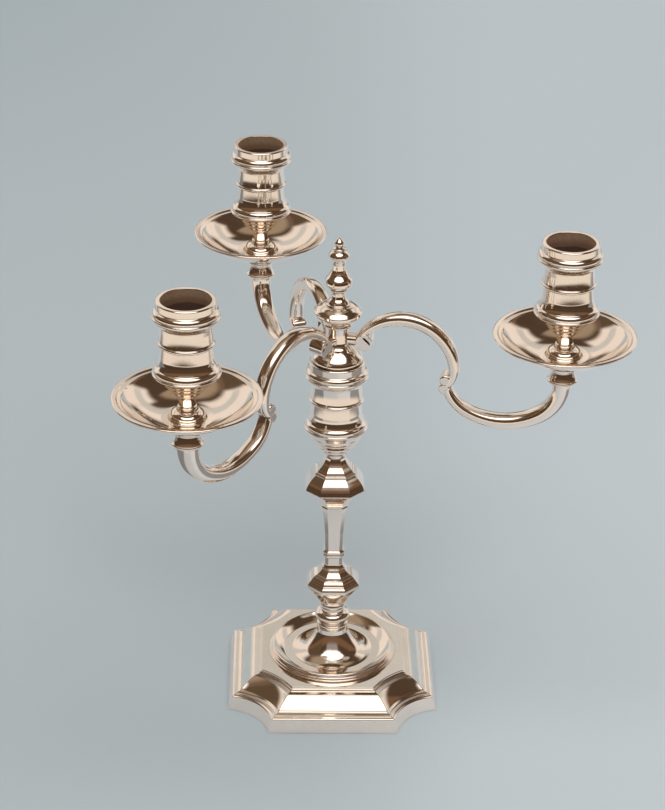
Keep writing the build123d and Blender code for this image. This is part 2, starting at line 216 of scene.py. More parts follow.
class Shell:
    """Vertices, faces and exact normals gathered for one mesh."""

    def __init__(self):
        self.places = []
        self.normals = []
        self.faces = []

    def rows(self, rows):
        """Joins closed rows of (place, normal) pairs with four-sided faces."""
        starts = []
        for row in rows:
            starts.append(len(self.places))
            for place, normal in row:
                self.places.append(place)
                self.normals.append(normal)
        width = len(rows[0])
        for i in range(len(rows) - 1):
            for j in range(width):
                k = (j + 1) % width
                quad = [starts[i] + j, starts[i] + k, starts[i + 1] + k, starts[i + 1] + j]
                spots = [self.places[q] for q in quad]
                keep = [q for n, q in enumerate(quad) if (spots[n] - spots[n - 1]).length > 1e-5]
                if len(keep) > 2:
                    self.faces.append(keep)

    def carry(self, found, section):
        """Carries a section along the stations of a profile."""
        rows = []
        for place, way in found:
            w, z = max(place.x, 0.0), place.y
            row = []
            for x, y, turn, share in section(w):
                normal = Vector((cos(turn) * way.y, sin(turn) * way.y, -share * way.x))
                row.append((Vector((x, y, z)), normal.normalized()))
            rows.append(row)
        self.rows(rows)

    def flat(self, loops, level, normal, to_space):
        """Fills flat loops, the first outside and the others holes in it."""
        raised = [[Vector((x, y, 0.0)) for x, y in loop] for loop in loops]
        start = len(self.places)
        for p in (p for loop in raised for p in loop):
            self.places.append(to_space(p.x, p.y, level))
            self.normals.append(normal)
        for tri in tessellate_polygon(raised):
            a, b, c = (self.places[start + t] for t in tri)
            order = tri if (b - a).cross(c - a).dot(normal) > 0 else tri[::-1]
            self.faces.append([start + t for t in order])

    def mesh(self, name):
        """The finished mesh, in metres, with its own smooth normals."""
        data = bpy.data.meshes.new(name)
        data.from_pydata([p * MM for p in self.places], [], self.faces)
        data.polygons.foreach_set("use_smooth", [True] * len(data.polygons))
        data.normals_split_custom_set_from_vertices([tuple(n) for n in self.normals])
        data.update()
        return data


def put(name, data, body, node, material, spot=None):
    """Places one visual piece on its CAD body and shows it in place of its CAD node."""
    piece = bpy.data.objects.new(name, data)
    bpy.context.scene.collection.objects.link(piece)
    if material.name not in data.materials:
        data.materials.append(material)
    if spot is not None:
        piece.matrix_world = spot
    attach(piece, body)
    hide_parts(node)


def put_turned(node, body, profile, material, lift=0.0, steps=128):
    """Places a piece turned on the stem's axis from its profile."""
    shell = Shell()
    shell.carry(stations(profile, lift), round_section(steps))
    name = f"{node}_shown"
    put(name, shell.mesh(name), body, node, material)


# ------------------------------------------------------------------ node helpers


class Nodes:
    """Short names for the shader nodes used below."""

    def __init__(self, tree):
        self.tree = tree
        tree.nodes.clear()

    def new(self, kind, **inputs):
        """Adds a node, its inputs named with _ for a space."""
        node = self.tree.nodes.new(kind)
        for key, value in inputs.items():
            self.join(value, node.inputs[key.replace("_", " ")])
        return node

    def join(self, value, socket):
        """Links a value that is a socket, and sets one that isn't."""
        if isinstance(value, bpy.types.NodeSocket):
            self.tree.links.new(value, socket)
        else:
            socket.default_value = value

    def math(self, operation, *values, clamp=False):
        node = self.tree.nodes.new("ShaderNodeMath")
        node.operation = operation
        node.use_clamp = clamp
        for value, socket in zip(values, node.inputs):
            self.join(value, socket)
        return node.outputs[0]

    def step(self, value, low, high, out_low=0.0, out_high=1.0):
        """A smooth step from one value to another."""
        node = self.tree.nodes.new("ShaderNodeMapRange")
        node.interpolation_type = "SMOOTHSTEP"
        wanted = {
            "Value": value,
            "From Min": low,
            "From Max": high,
            "To Min": out_low,
            "To Max": out_high,
        }
        for key, one in wanted.items():
            self.join(one, node.inputs[key])
        return node.outputs[0]

    def between(self, value, low, high, soft):
        """1 where a value lies between two limits, with soft edges."""
        rise = self.step(value, low - soft, low + soft)
        return self.math("MULTIPLY", rise, self.step(value, high + soft, high - soft))

    def mix(self, share, a, b, kind="MIX"):
        """Blends colour b into colour a."""
        node = self.tree.nodes.new("ShaderNodeMix")
        node.data_type = "RGBA"
        node.blend_type = kind
        for key, one in zip((0, 6, 7), (share, a, b)):
            self.join(one, node.inputs[key])
        return node.outputs[2]

    def noise(self, vector, scale, detail=2.0, roughness=0.5, distortion=0.0):
        node = self.new("ShaderNodeTexNoise", Vector=vector, Scale=scale)
        for key, one in (("Detail", detail), ("Roughness", roughness), ("Distortion", distortion)):
            self.join(one, node.inputs[key])
        return node.outputs["Fac"]

    def dot(self, vector, direction):
        node = self.tree.nodes.new("ShaderNodeVectorMath")
        node.operation = "DOT_PRODUCT"
        self.join(vector, node.inputs[0])
        self.join(tuple(direction), node.inputs[1])
        return node.outputs["Value"]


def rgb(r, g, b):
    return (r, g, b, 1.0)


# ------------------------------------------------------------------ materials


SILVER_TINT = (0.95, 0.85, 0.745)


def add_bore_tarnish_and_shade(n, coords, cloud, fine, rim, depth):
    """Old wax and tarnish in a sconce's bore, with painted shade darkening it towards the bottom: where
    they lie, and their colour.
    """
    x, y, z = n.new("ShaderNodeSeparateXYZ", Vector=coords).outputs
    across = n.math("SQRT", n.math("ADD", n.math("MULTIPLY", x, x), n.math("MULTIPLY", y, y)))
    inside = n.step(across, (BORE_RADIUS + 0.25) * MM, (BORE_RADIUS + 0.02) * MM)
    down = n.math("SUBTRACT", rim, n.math("DIVIDE", z, MM))
    below = n.math("MULTIPLY", inside, n.step(down, 0.2, 0.7))
    below = n.math("MULTIPLY", below, n.step(down, depth + 0.5, depth + 0.2))
    uneven = n.math("ADD", down, n.math("MULTIPLY", cloud, -2.5))
    stain_and_shade = n.mix(n.step(fine, 0.3, 0.7), rgb(0.60, 0.42, 0.27), rgb(0.42, 0.27, 0.16))
    # Painted shade: the bore's colour darkens with depth, nearly black at the bottom
    stain_and_shade = n.mix(n.step(uneven, 1.0, 4.5), stain_and_shade, rgb(0.30, 0.16, 0.09))
    stain_and_shade = n.mix(n.step(uneven, 5.0, 6.2), stain_and_shade, rgb(0.07, 0.022, 0.009))
    return below, stain_and_shade


def silver_material(name, polish, seed, rim=0.0, depth=0.0):
    """Polished silver: slight waviness, hairlines from cleaning, tarnish in the recesses and, for a
    sconce whose rim height and bore depth are given, wear and painted shade inside its bore."""
    material = bpy.data.materials.new(name)
    material.use_nodes = True
    n = Nodes(material.node_tree)
    coords = n.new("ShaderNodeTexCoord").outputs["Object"]
    moved = n.new("ShaderNodeVectorMath", Vector=coords)
    moved.operation = "ADD"
    moved.inputs[1].default_value = (seed, seed * 0.7, seed * 1.3)
    at = moved.outputs[0]
    cloud = n.noise(at, 90.0, 4.0, 0.6)
    fine = n.noise(at, 1400.0, 3.0, 0.7)
    hairs = n.new("ShaderNodeMapping", Vector=at, Scale=(600.0, 600.0, 5200.0), Rotation=(0.5, 0.9, 0.3))
    hair = n.noise(hairs.outputs[0], 1.0, 2.0, 0.6)
    near = n.new("ShaderNodeAmbientOcclusion", Distance=0.0014)
    near.samples = 4
    near.inside = False
    recess = n.math("POWER", n.math("SUBTRACT", 1.0, near.outputs["AO"], clamp=True), 1.3)
    dull = n.math("MULTIPLY", recess, n.step(cloud, 0.25, 0.75, 0.55, 1.0), clamp=True)
    clean = n.mix(n.step(cloud, 0.3, 0.75), rgb(*SILVER_TINT), rgb(0.92, 0.81, 0.70))
    color = n.mix(n.math("MULTIPLY", dull, 0.6), clean, rgb(0.34, 0.24, 0.16))
    metal = 1.0
    rough = n.step(fine, 0.35, 0.8, polish, polish + 0.07)
    rough = n.math("ADD", rough, n.math("MULTIPLY", dull, 0.22))
    rough = n.math("ADD", rough, n.step(hair, 0.55, 0.85, 0.0, 0.06))
    if depth:
        # Wear in the bore, with painted shade darkening it towards the bottom
        below, stain_and_shade = add_bore_tarnish_and_shade(n, coords, cloud, fine, rim, depth)
        color = n.mix(n.math("MULTIPLY", below, 0.92), color, stain_and_shade)
        rough = n.math("ADD", rough, n.math("MULTIPLY", below, 0.30))
        metal = n.math("SUBTRACT", 1.0, n.math("MULTIPLY", below, 0.65))
    wave = n.new("ShaderNodeBump", Height=n.noise(at, 55.0), Strength=0.12, Distance=0.0006)
    grain = n.new("ShaderNodeBump", Height=hair, Strength=0.05, Distance=0.00004, Normal=wave.outputs[0])
    shader = n.new("ShaderNodeBsdfPrincipled", Metallic=metal, Roughness=rough, Normal=grain.outputs[0])
    n.join(color, shader.inputs["Base Color"])
    n.new("ShaderNodeOutputMaterial", Surface=shader.outputs[0])
    return material


def turned_metal(name, color, dark, rough):
    """Lathe-turned brass or steel with fine rings and old oil."""
    material = bpy.data.materials.new(name)
    material.use_nodes = True
    n = Nodes(material.node_tree)
    coords = n.new("ShaderNodeTexCoord").outputs["Object"]
    stretch = n.new("ShaderNodeMapping", Vector=coords, Scale=(60.0, 60.0, 3200.0))
    rings = n.noise(stretch.outputs[0], 1.0, 2.0, 0.6)
    blot = n.noise(coords, 260.0, 4.0, 0.65)
    tone = n.mix(n.step(blot, 0.35, 0.75), rgb(*color), rgb(*dark))
    bump = n.new("ShaderNodeBump", Height=rings, Strength=0.25, Distance=0.00005)
    worn = n.step(rings, 0.2, 0.8, rough, rough + 0.2)
    shader = n.new("ShaderNodeBsdfPrincipled", Metallic=1.0, Roughness=worn, Normal=bump.outputs[0])
    n.join(tone, shader.inputs["Base Color"])
    n.new("ShaderNodeOutputMaterial", Surface=shader.outputs[0])
    return material


def felt_material():
    """Dark green felt with a fuzzy matted nap."""
    material = bpy.data.materials.new("baize")
    material.use_nodes = True
    n = Nodes(material.node_tree)
    coords = n.new("ShaderNodeTexCoord").outputs["Object"]
    nap = n.noise(coords, 1800.0, 5.0, 0.75, 1.2)
    worn = n.noise(coords, 45.0, 3.0, 0.5)
    color = n.mix(n.step(nap, 0.3, 0.7), rgb(0.018, 0.07, 0.042), rgb(0.05, 0.145, 0.09))
    color = n.mix(n.step(worn, 0.5, 0.85, 0.0, 0.5), color, rgb(0.10, 0.14, 0.09))
    bump = n.new("ShaderNodeBump", Height=nap, Strength=0.7, Distance=0.0004)
    shader = n.new("ShaderNodeBsdfPrincipled", Roughness=0.95, Normal=bump.outputs[0])
    n.join(color, shader.inputs["Base Color"])
    n.join(0.25, shader.inputs["Sheen Weight"])
    n.new("ShaderNodeOutputMaterial", Surface=shader.outputs[0])
    return material


silver = silver_material("silver", 0.06, 0.0)
silver_cast = silver_material("silver_cast", 0.085, 0.31)
silver_sheet = silver_material("silver_sheet", 0.065, 0.67)
silver_light = silver_material("silver_light", 0.065, 0.43, LIGHT_RIM, CANDLE_DEPTH)
silver_main = silver_material("silver_main", 0.065, 0.17, STICK_RIM, SOCKET_DEPTH)
brass = turned_metal("brass", (0.66, 0.47, 0.20), (0.34, 0.22, 0.09), 0.25)
steel = turned_metal("steel", (0.50, 0.50, 0.51), (0.22, 0.18, 0.15), 0.3)
baize = felt_material()

# ------------------------------------------------------------------ the foot

# The square steps end on the platform's flat, and the round well starts inside it
FLAT_EDGE = 35.0
WELL_EDGE = 31.9
FOOT_STEPS = [
    (50.25, 1.3),
    (50.25, 0.0),
    (52.75, 0.0),
    (52.75, 0.5),
    (50.9, 6.8),
    (50.2, 7.4, 0.15),
    (49.3, 7.6),
    (49.1, 8.2),
    (46.4, 8.9, -0.25),
    (46.2, 9.3),
    (39.8, 14.5, 0.3),
    (37.1, 14.7),
    (37.0, 15.5),
    (36.1, 15.6),
    (35.9, PLATFORM),
    (FLAT_EDGE, PLATFORM),
]
WELL_TO_TRUMPET = [
    (32.2, 14.5),
    (32.2, 17.3),
    (31.5, 17.4),
    (31.4, 18.3),
    (30.8, 18.4),
    (30.7, 19.4),
    (29.4, 20.0, 0.45),
    (24.5, 17.0, -0.25),
    (20.5, 16.9),
    (16.2, 18.4, -0.2),
    (13.0, 20.9, -0.2),
    (7.9, 28.6, -0.3),
    (7.4, FOOT_TOP),
    (0.0, FOOT_TOP),
]

shell = Shell()
foot_section = incurved_section(0.45)
shell.carry(stations(FOOT_STEPS, round_off=0.3), foot_section)
edge_row = [(Vector((x, y, PLATFORM)), Vector((0, 0, 1))) for x, y, _, _ in foot_section(FLAT_EDGE)]
ring_row = [(Vector((*(p.xy.normalized() * WELL_EDGE), PLATFORM)), q) for p, q in edge_row]
shell.rows([edge_row, ring_row])
shell.carry(stations(WELL_TO_TRUMPET), round_section(192))
put("foot_shown", shell.mesh("foot_shown"), "candlestick", "foot", silver)

# ------------------------------------------------------------------ the stem

RING_PROFILE = [
    (0.0, 0.0),
    (7.2, 0.0),
    (7.2, 0.5),
    (7.7, 1.0),
    (7.8, 2.6, 0.2),
    (6.9, 3.2),
    (6.8, 3.7),
    (6.4, 9.7, 2.35),
    (5.9, 10.2),
    (5.9, 11.6),
    (0.0, 11.6),
]
put_turned("foot_ring", "candlestick", RING_PROFILE, silver, FOOT_TOP)

KNOP_NECK = [(0.0, 0.0), (6.0, 0.0), (6.4, 2.6, 0.5), (6.2, 3.8)]
KNOP_FACES = [
    (0.0, 3.2),
    (6.2, 3.2),
    (6.9, 4.9, -0.1),
    (12.4, 13.3, -0.3),
    (13.0, 13.8),
    (13.0, 15.3),
    (12.0, 16.7, 0.1),
    (11.8, 17.2),
    (11.4, 17.4),
    (10.2, 19.1, 0.1),
    (9.8, 19.4),
    (9.7, 19.8),
    (5.5, 23.4, -0.5),
    (5.7, 23.8, 0.1),
    (5.4, KNOP_TOP - RING_TOP),
    (0.0, KNOP_TOP - RING_TOP),
]
shell = Shell()
shell.carry(stations(KNOP_NECK, RING_TOP), round_section(96))
shell.carry(stations(KNOP_FACES, RING_TOP, round_off=0.22), octagon_section(0.3, KNOP_SHARE))
put("lower_knop_shown", shell.mesh("lower_knop_shown"), "candlestick", "lower_knop", silver_cast)

SHAFT_FACES = [
    (0.0, 0.0),
    (5.3, 0.0),
    (4.3, 3.4, -0.3),
    (4.2, 6.0),
    (5.0, 6.5),
    (5.2, 7.5, 0.1),
    (5.0, 8.3, 0.1),
    (5.2, 8.7),
    (5.1, 9.7, 0.15),
    (4.3, 10.3),
    (4.6, 20.0, -0.1),
    (5.7, 31.7, -0.2),
    (6.5, SHAFT_TOP - KNOP_TOP, -0.05),
    (0.0, SHAFT_TOP - KNOP_TOP),
]
shell = Shell()
shell.carry(stations(SHAFT_FACES, KNOP_TOP, round_off=0.22), octagon_section(0.25, SHAFT_SHARE))
put("stem_shaft_shown", shell.mesh("stem_shaft_shown"), "candlestick", "stem_shaft", silver_cast)

SHOULDER_FACES = [
    (0.0, 0.0),
    (6.5, 0.0),
    (14.2, 10.6, -1.3),
    (14.5, 11.1),
    (9.7, 18.5, 0.73),
    (9.9, 18.8),
    (9.3, 20.0, 0.3),
    (8.7, 20.1),
    (7.3, 22.1, 0.15),
    (7.0, 22.4),
    (4.9, 26.0, -0.2),
    (4.6, SHOULDER_TOP - SHAFT_TOP),
    (0.0, SHOULDER_TOP - SHAFT_TOP),
]
shell = Shell()
shell.carry(stations(SHOULDER_FACES, SHAFT_TOP, round_off=0.22), octagon_section(0.3, SHOULDER_SHARE))
put("shoulder_knop_shown", shell.mesh("shoulder_knop_shown"), "candlestick", "shoulder_knop", silver_cast)

# ------------------------------------------------------------------ the sconces


def sconce_wall(waist, ring):
    """The spool-shaped outside of a sconce, with heights counted from its rim."""
    return [
        (14.5, -36.9),
        (15.4, -36.3),
        (15.6, -35.2, 0.15),
        (15.0, -34.8),
        (14.0, -32.2, 0.5),
        (13.7, -32.0),
        (waist + 0.3, -27.0, -0.35),
        (waist - 0.15, -21.8, -0.03),
        (ring, -21.2),
        (ring, -20.0, 0.15),
        (ring - 0.5, -19.7),
        (ring - 0.7, -19.0),
        (waist + 0.1, -14.5, -0.05),
        (waist + 0.1, -12.2),
        (14.2, -9.0, -0.35),
        (15.3, -8.5),
        (15.5, -7.2, 0.15),
        (14.9, -6.8),
        (13.9, -3.9, 0.75),
        (RIM_RADIUS, -3.6),
        (RIM_RADIUS, -0.4),
        (RIM_RADIUS - 0.4, 0.0),
    ]


def bore_wall(depth):
    """The mouth and the bottom of a sconce's bore, with heights counted from its rim."""
    return [(BORE_RADIUS, 0.0), (BORE_RADIUS, -depth), (0.0, -depth)]


MAIN_BOWL = [
    (0.0, SHOULDER_TOP - STICK_RIM),
    (4.7, SHOULDER_TOP - STICK_RIM),
    (4.7, -51.0),
    (5.6, -49.9, -0.1),
    (7.7, -48.5),
    (7.9, -47.6),
    (9.5, -46.0),
    (9.7, -45.1),
    (11.5, -42.9),
    (11.8, -42.0),
    (13.2, -39.4, 0.25),
]
LIGHT_BOWL = [
    (0.0, BOSS_TOP - LIGHT_RIM),
    (4.2, BOSS_TOP - LIGHT_RIM),
    (4.5, -52.2, 0.1),
    (3.8, -51.7),
    (3.9, -48.8),
    (5.2, -46.6, -0.3),
    (6.3, -46.0),
    (6.5, -45.2),
    (8.7, -43.0),
    (8.9, -42.2),
    (11.3, -40.0),
    (11.6, -39.2),
    (13.6, -37.4),
]
main_profile = MAIN_BOWL + sconce_wall(12.2, 13.4) + bore_wall(SOCKET_DEPTH)
put_turned("main_sconce", "candlestick", main_profile, silver_main, STICK_RIM, 160)

# ------------------------------------------------------------------ the branch's centre

HUB_PROFILE = [
    (BORE_RADIUS + 0.1, HUB_LOW + 1.0),
    (BORE_RADIUS + 0.1, HUB_LOW),
    (12.0, HUB_LOW),
    (12.5, HUB_LOW + 0.5),
    (11.5, HUB_LOW + 3.3, 0.25),
    (7.0, HUB_LOW + 7.5, 0.25),
    (5.4, HUB_LOW + 10.6, -0.35),
    (5.2, 197.5),
    (5.6, HUB_TOP, -0.1),
    (0.0, HUB_TOP),
]
put_turned("branch_hub", "branch", HUB_PROFILE, silver)

CAP_PROFILE = [
    (0.0, HUB_TOP),
    (5.9, HUB_TOP),
    (6.8, 201.4),
    (6.9, 202.5, 0.15),
    (6.6, 202.8),
    (8.3, 204.4, 0.15),
    (11.1, 206.9, -0.2),
    (11.6, 207.4),
    (11.6, 209.3, 0.1),
    (11.2, 209.6),
    (6.3, CAP_TOP, 0.6),
    (0.0, CAP_TOP),
]
put_turned("hub_cap", "branch", CAP_PROFILE, silver)

FINIAL_PROFILE = [
    (2.45, CAP_TOP + 4.0),
    (2.45, CAP_TOP),
    (5.9, CAP_TOP),
    (5.9, CAP_TOP + 0.6, 0.1),
    (5.2, CAP_TOP + 0.9),
    (5.0, 213.8),
    (3.6, 215.8, 0.15),
    (3.3, 217.0),
    (3.4, 219.4, -0.1),
    (4.2, 219.8),
    (4.3, 220.8, 0.15),
    (4.0, 221.3),
    (6.65, 223.9, 0.85),
    (5.5, 227.0, 0.35),
    (3.3, 230.6, -0.25),
    (3.2, 232.5),
    (4.5, 236.9, -0.4),
    (4.9, 237.2),
    (4.9, 238.3, 0.1),
    (2.7, 240.6, 0.35),
    (3.1, 240.9),
    (3.1, 241.7, 0.1),
    (1.6, 242.3),
    (1.5, 245.7, 0.82),
    (0.5, 246.6, 0.15),
    (0.0, 246.7),
]
put_turned("finial", "finial", FINIAL_PROFILE, silver, steps=96)

# ------------------------------------------------------------------ the arms

ARCH_CENTRE = (31.5, 181.9)
ARCH_RADIUS = 25.2
VOLUTE_CENTRE = (13.2, 194.4)
VOLUTE_RADIUS = 4.2
VOLUTE_HALF_WIDTH = 3.9
VOLUTE_NOTCH = [(-1.2, 2.9), (2.6, 2.5), (3.0, -1.2), (-1.2, 2.9)]
NOTCH_DEPTH = 1.2
UPPER_CURL = (53.0, 177.5)
LOWER_CURL = (52.7, 173.1)
CURL_RADIUS = 2.8
CURL_HALF_WIDTH = 3.8
ARCH_HALF_WIDTH = 3.8
ROOT_FROM, ROOT_TO = 4.9, 10.5
ROOT_HALF_HIGH = 2.8
ROOT_HALF_WIDE = 3.2
# 1 draws the arms' section as a plain oval, less draws it fuller towards its corners
FULL = 0.78


def arc_path(start, turns):
    """Places and headings along arcs (radius, sweep in degrees) that follow on smoothly."""
    place, heading = Vector(start[0]), start[1]
    found = []
    for radius, sweep in turns:
        steps = max(2, ceil(abs(radius * radians(sweep)) / 0.6))
        side = 1 if sweep > 0 else -1
        normal = heading + side * pi / 2
        centre = place + Vector((cos(normal), sin(normal))) * radius
        for k in range(steps + 1):
            turn = radians(sweep) * k / steps
            a = normal + pi + turn
            found.append((centre + Vector((cos(a), sin(a))) * radius, heading + turn))
        place, heading = found[-1]
    return found


def superellipse(turn, power):
    """A point of the unit oval, fuller towards its corners where power is below 1."""
    c, d = cos(turn), sin(turn)
    return copysign(abs(c) ** power, c), copysign(abs(d) ** power, d)


def sweep_oval(shell, path, thick, wide, steps=40):
    """Carries an oval along a path in the upright plane and closes both its ends."""
    rows = []
    total = len(path) - 1
    for k, (place, heading) in enumerate(path):
        half_wide, half_thick = wide(k / total), thick(k / total)
        across = Vector((-sin(heading), 0, cos(heading)))
        row = []
        for s in range(steps):
            turn = 2 * pi * s / steps
            side_on, top_on = superellipse(turn, FULL)
            offset = Vector((0, half_wide * side_on, 0)) + across * half_thick * top_on
            side_on, top_on = superellipse(turn, 2 - FULL)
            normal = Vector((0, side_on / half_wide, 0)) + across * top_on / half_thick
            row.append((Vector((place.x, 0, place.y)) + offset, normal.normalized()))
        rows.append(row)
    for end, out in ((0, -1), (-1, 1)):
        place, heading = path[end]
        way = Vector((cos(heading), 0, sin(heading))) * out
        cap = [(Vector((place.x, 0, place.y)), way)] * steps
        lip = [(p, way) for p, _ in rows[end]]
        shell.rows([cap, lip] if end == 0 else [lip, cap])
    shell.rows(rows)


def upright_turned(shell, centre, profile, soft, steps):
    """Turns a profile about an axis along Y through a place in the upright plane."""
    rows = []
    for place, way in stations(profile, round_off=soft):
        row = []
        for s in range(steps):
            turn = 2 * pi * s / steps
            spot = Vector((centre[0] + place.x * cos(turn), -place.y, centre[1] + place.x * sin(turn)))
            normal = Vector((cos(turn) * way.y, way.x, sin(turn) * way.y))
            row.append((spot, normal.normalized()))
        rows.append(row)
    shell.rows(rows)


def disc_profile(inner, radius, half_width):
    """Half the outline of a disc from one face round its rim to the other."""
    return [
        (inner, -half_width),
        (radius, -half_width),
        (radius, half_width),
        (inner, half_width),
    ]


def notched_disc(shell, centre, radius, half_width, soft, notch, depth, steps=72):
    """A disc lying in the upright plane with the same recess sunk in both its faces."""
    face_radius = radius - 1.0
    upright_turned(shell, centre, disc_profile(face_radius, radius, half_width), soft, steps)
    turns = [2 * pi * s / steps for s in range(steps)]
    rim = [(face_radius * cos(turn), face_radius * sin(turn)) for turn in turns]
    corners = [place for place, _ in stations(notch, round_off=0.6, close=True)]
    outline = [(c.x, c.y) for c in corners]
    middle = sum(corners, Vector((0, 0))) / len(corners)
    for face in (-1, 1):

        def to_space(u, v, level, face=face):
            return Vector((centre[0] + u, face * level, centre[1] + v))

        out = Vector((0, face, 0))
        shell.flat([rim, outline], half_width, out, to_space)
        shell.flat([outline], half_width - depth, out, to_space)
        walls = []
        for level in (half_width, half_width - depth):
            row = []
            for k, c in enumerate(corners):
                along = corners[(k + 1) % len(corners)] - corners[k - 1]
                inward = Vector((-along.y, along.x)).normalized()
                if inward.dot(middle - c) < 0:
                    inward = -inward
                row.append((to_space(c.x, c.y, level), Vector((inward.x, 0, inward.y))))
            walls.append(row)
        shell.rows(walls)


def arch_thick(t):
    """Half thickness of the upper scroll from the volute to its curl."""
    return 1.6 + 1.9 * sin(pi * t) ** 0.6


def swan_thick(t):
    """Half thickness of the lower scroll from under the collar to its curl."""
    return 4.4 - 1.9 * t + 0.35 * sin(pi * t)


def swan_wide(t):
    """Half width of the lower scroll from under the collar to its curl."""
    return 5.4 - 1.5 * sqrt(t)


start_turn = radians(148.0)
arch_start = Vector(ARCH_CENTRE) + Vector((cos(start_turn), sin(start_turn))) * ARCH_RADIUS
arch = arc_path((arch_start, start_turn - pi / 2), [(ARCH_RADIUS, -151.2), (8.0, -60.0)])
swan = [(Vector((ARM_REACH, ARM_END)), -pi / 2)]
swan += arc_path(((ARM_REACH, ARM_END - 1.2), -pi / 2), [(20.7, -57.6), (35.0, -63.4), (20.0, -41.0)])

shell = Shell()
sweep_oval(shell, arch, arch_thick, lambda t: ARCH_HALF_WIDTH)
sweep_oval(shell, swan, swan_thick, swan_wide)
notched_disc(shell, VOLUTE_CENTRE, VOLUTE_RADIUS, VOLUTE_HALF_WIDTH, 0.5, VOLUTE_NOTCH, NOTCH_DEPTH)
curl_profile = disc_profile(0.0, CURL_RADIUS, CURL_HALF_WIDTH)
upright_turned(shell, UPPER_CURL, curl_profile, 1.1, 56)
upright_turned(shell, LOWER_CURL, curl_profile, 0.8, 56)
root = [(Vector((end, VOLUTE_CENTRE[1])), 0.0) for end in (ROOT_FROM, ROOT_TO)]
sweep_oval(shell, root, lambda t: ROOT_HALF_HIGH, lambda t: ROOT_HALF_WIDE)
arm_mesh = shell.mesh("arm_shown")

# ------------------------------------------------------------------ collars, pans, sconces

COLLAR_PROFILE = [
    (0.0, ARM_END),
    (5.6, ARM_END),
    (6.9, 181.2),
    (7.4, 181.8),
    (7.4, 182.6, 0.1),
    (6.9, 183.0),
    (5.4, 187.1, -0.2),
    (6.0, 187.6),
    (6.1, 188.9, 0.1),
    (5.8, 189.2),
    (5.8, 189.9),
    (6.1, 190.2),
    (6.1, 191.4, 0.1),
    (5.8, 191.7),
    (6.6, COLLAR_TOP, -0.15),
    (0.0, COLLAR_TOP),
]
PAN_OUTLINE = [
    (0.0, COLLAR_TOP),
    (12.4, COLLAR_TOP),
    (30.4, 203.7, 1.7),
    (33.7, 204.6),
    (PAN_RADIUS, 205.2, 0.1),
    (33.8, 205.9, 0.15),
    (32.0, 205.8),
    (31.6, 205.2),
    (29.9, 205.0),
    (29.4, 204.3),
    (12.0, 195.2, -1.7),
    (8.9, 195.0),
    (8.3, 195.9, 0.1),
    (4.9, 199.2, 0.9),
    (4.4, BOSS_TOP),
    (0.0, BOSS_TOP),
]
shell = Shell()
shell.carry(stations(COLLAR_PROFILE), round_section(96))
collar_mesh = shell.mesh("arm_collar_shown")

shell = Shell()
shell.carry(stations(PAN_OUTLINE, fine=2.5), round_section(224))
pan_mesh = shell.mesh("drip_pan_shown")

shell = Shell()
light_profile = LIGHT_BOWL + sconce_wall(11.7, 12.9) + bore_wall(CANDLE_DEPTH)
shell.carry(stations(light_profile, LIGHT_RIM), round_section(160))
sconce_mesh = shell.mesh("sconce_shown")

for side, angle in ARMS.items():
    turn = Matrix.Rotation(radians(angle), 4, "Z")
    spot = turn @ Matrix.Translation((ARM_REACH * MM, 0, 0))
    sconce = f"sconce_{side}"
    for node, data, body, material, place in (
        (f"arm_{side}", arm_mesh, "branch", silver_cast, turn),
        (f"arm_collar_{side}", collar_mesh, "branch", silver, spot),
        (f"drip_pan_{side}", pan_mesh, "branch", silver_sheet, spot),
        (sconce, sconce_mesh, sconce, silver_light, spot),
    ):
        put(f"{node}_shown", data, body, node, material, place)

# ------------------------------------------------------------------ CAD pieces kept as they are

KEPT = {
    "baize_pad": baize,
    "tie_rod": steel,
    "rod_washer": brass,
    "rod_nut": brass,
    "branch_rod": brass,
    "spigot_nut": brass,
    "finial_bush": brass,
    "spigot": silver_sheet,
    "sconce_stud_right": brass,
    "sconce_stud_rear": brass,
    "sconce_stud_left": brass,
}
for node, material in KEPT.items():
    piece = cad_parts[node]
    piece.data.materials.clear()
    piece.data.materials.append(material)

# ------------------------------------------------------------------ floor, light and camera


def seen(r, g, b, strength=1.0):
    """A colour as it looks in polished silver, 0 to 255, turned into light."""
    light = [((v / 255 + 0.055) / 1.055) ** 2.4 for v in (r, g, b)]
    return rgb(*(strength * v / s for v, s in zip(light, SILVER_TINT)))


FLOOR_HALF = 6.0


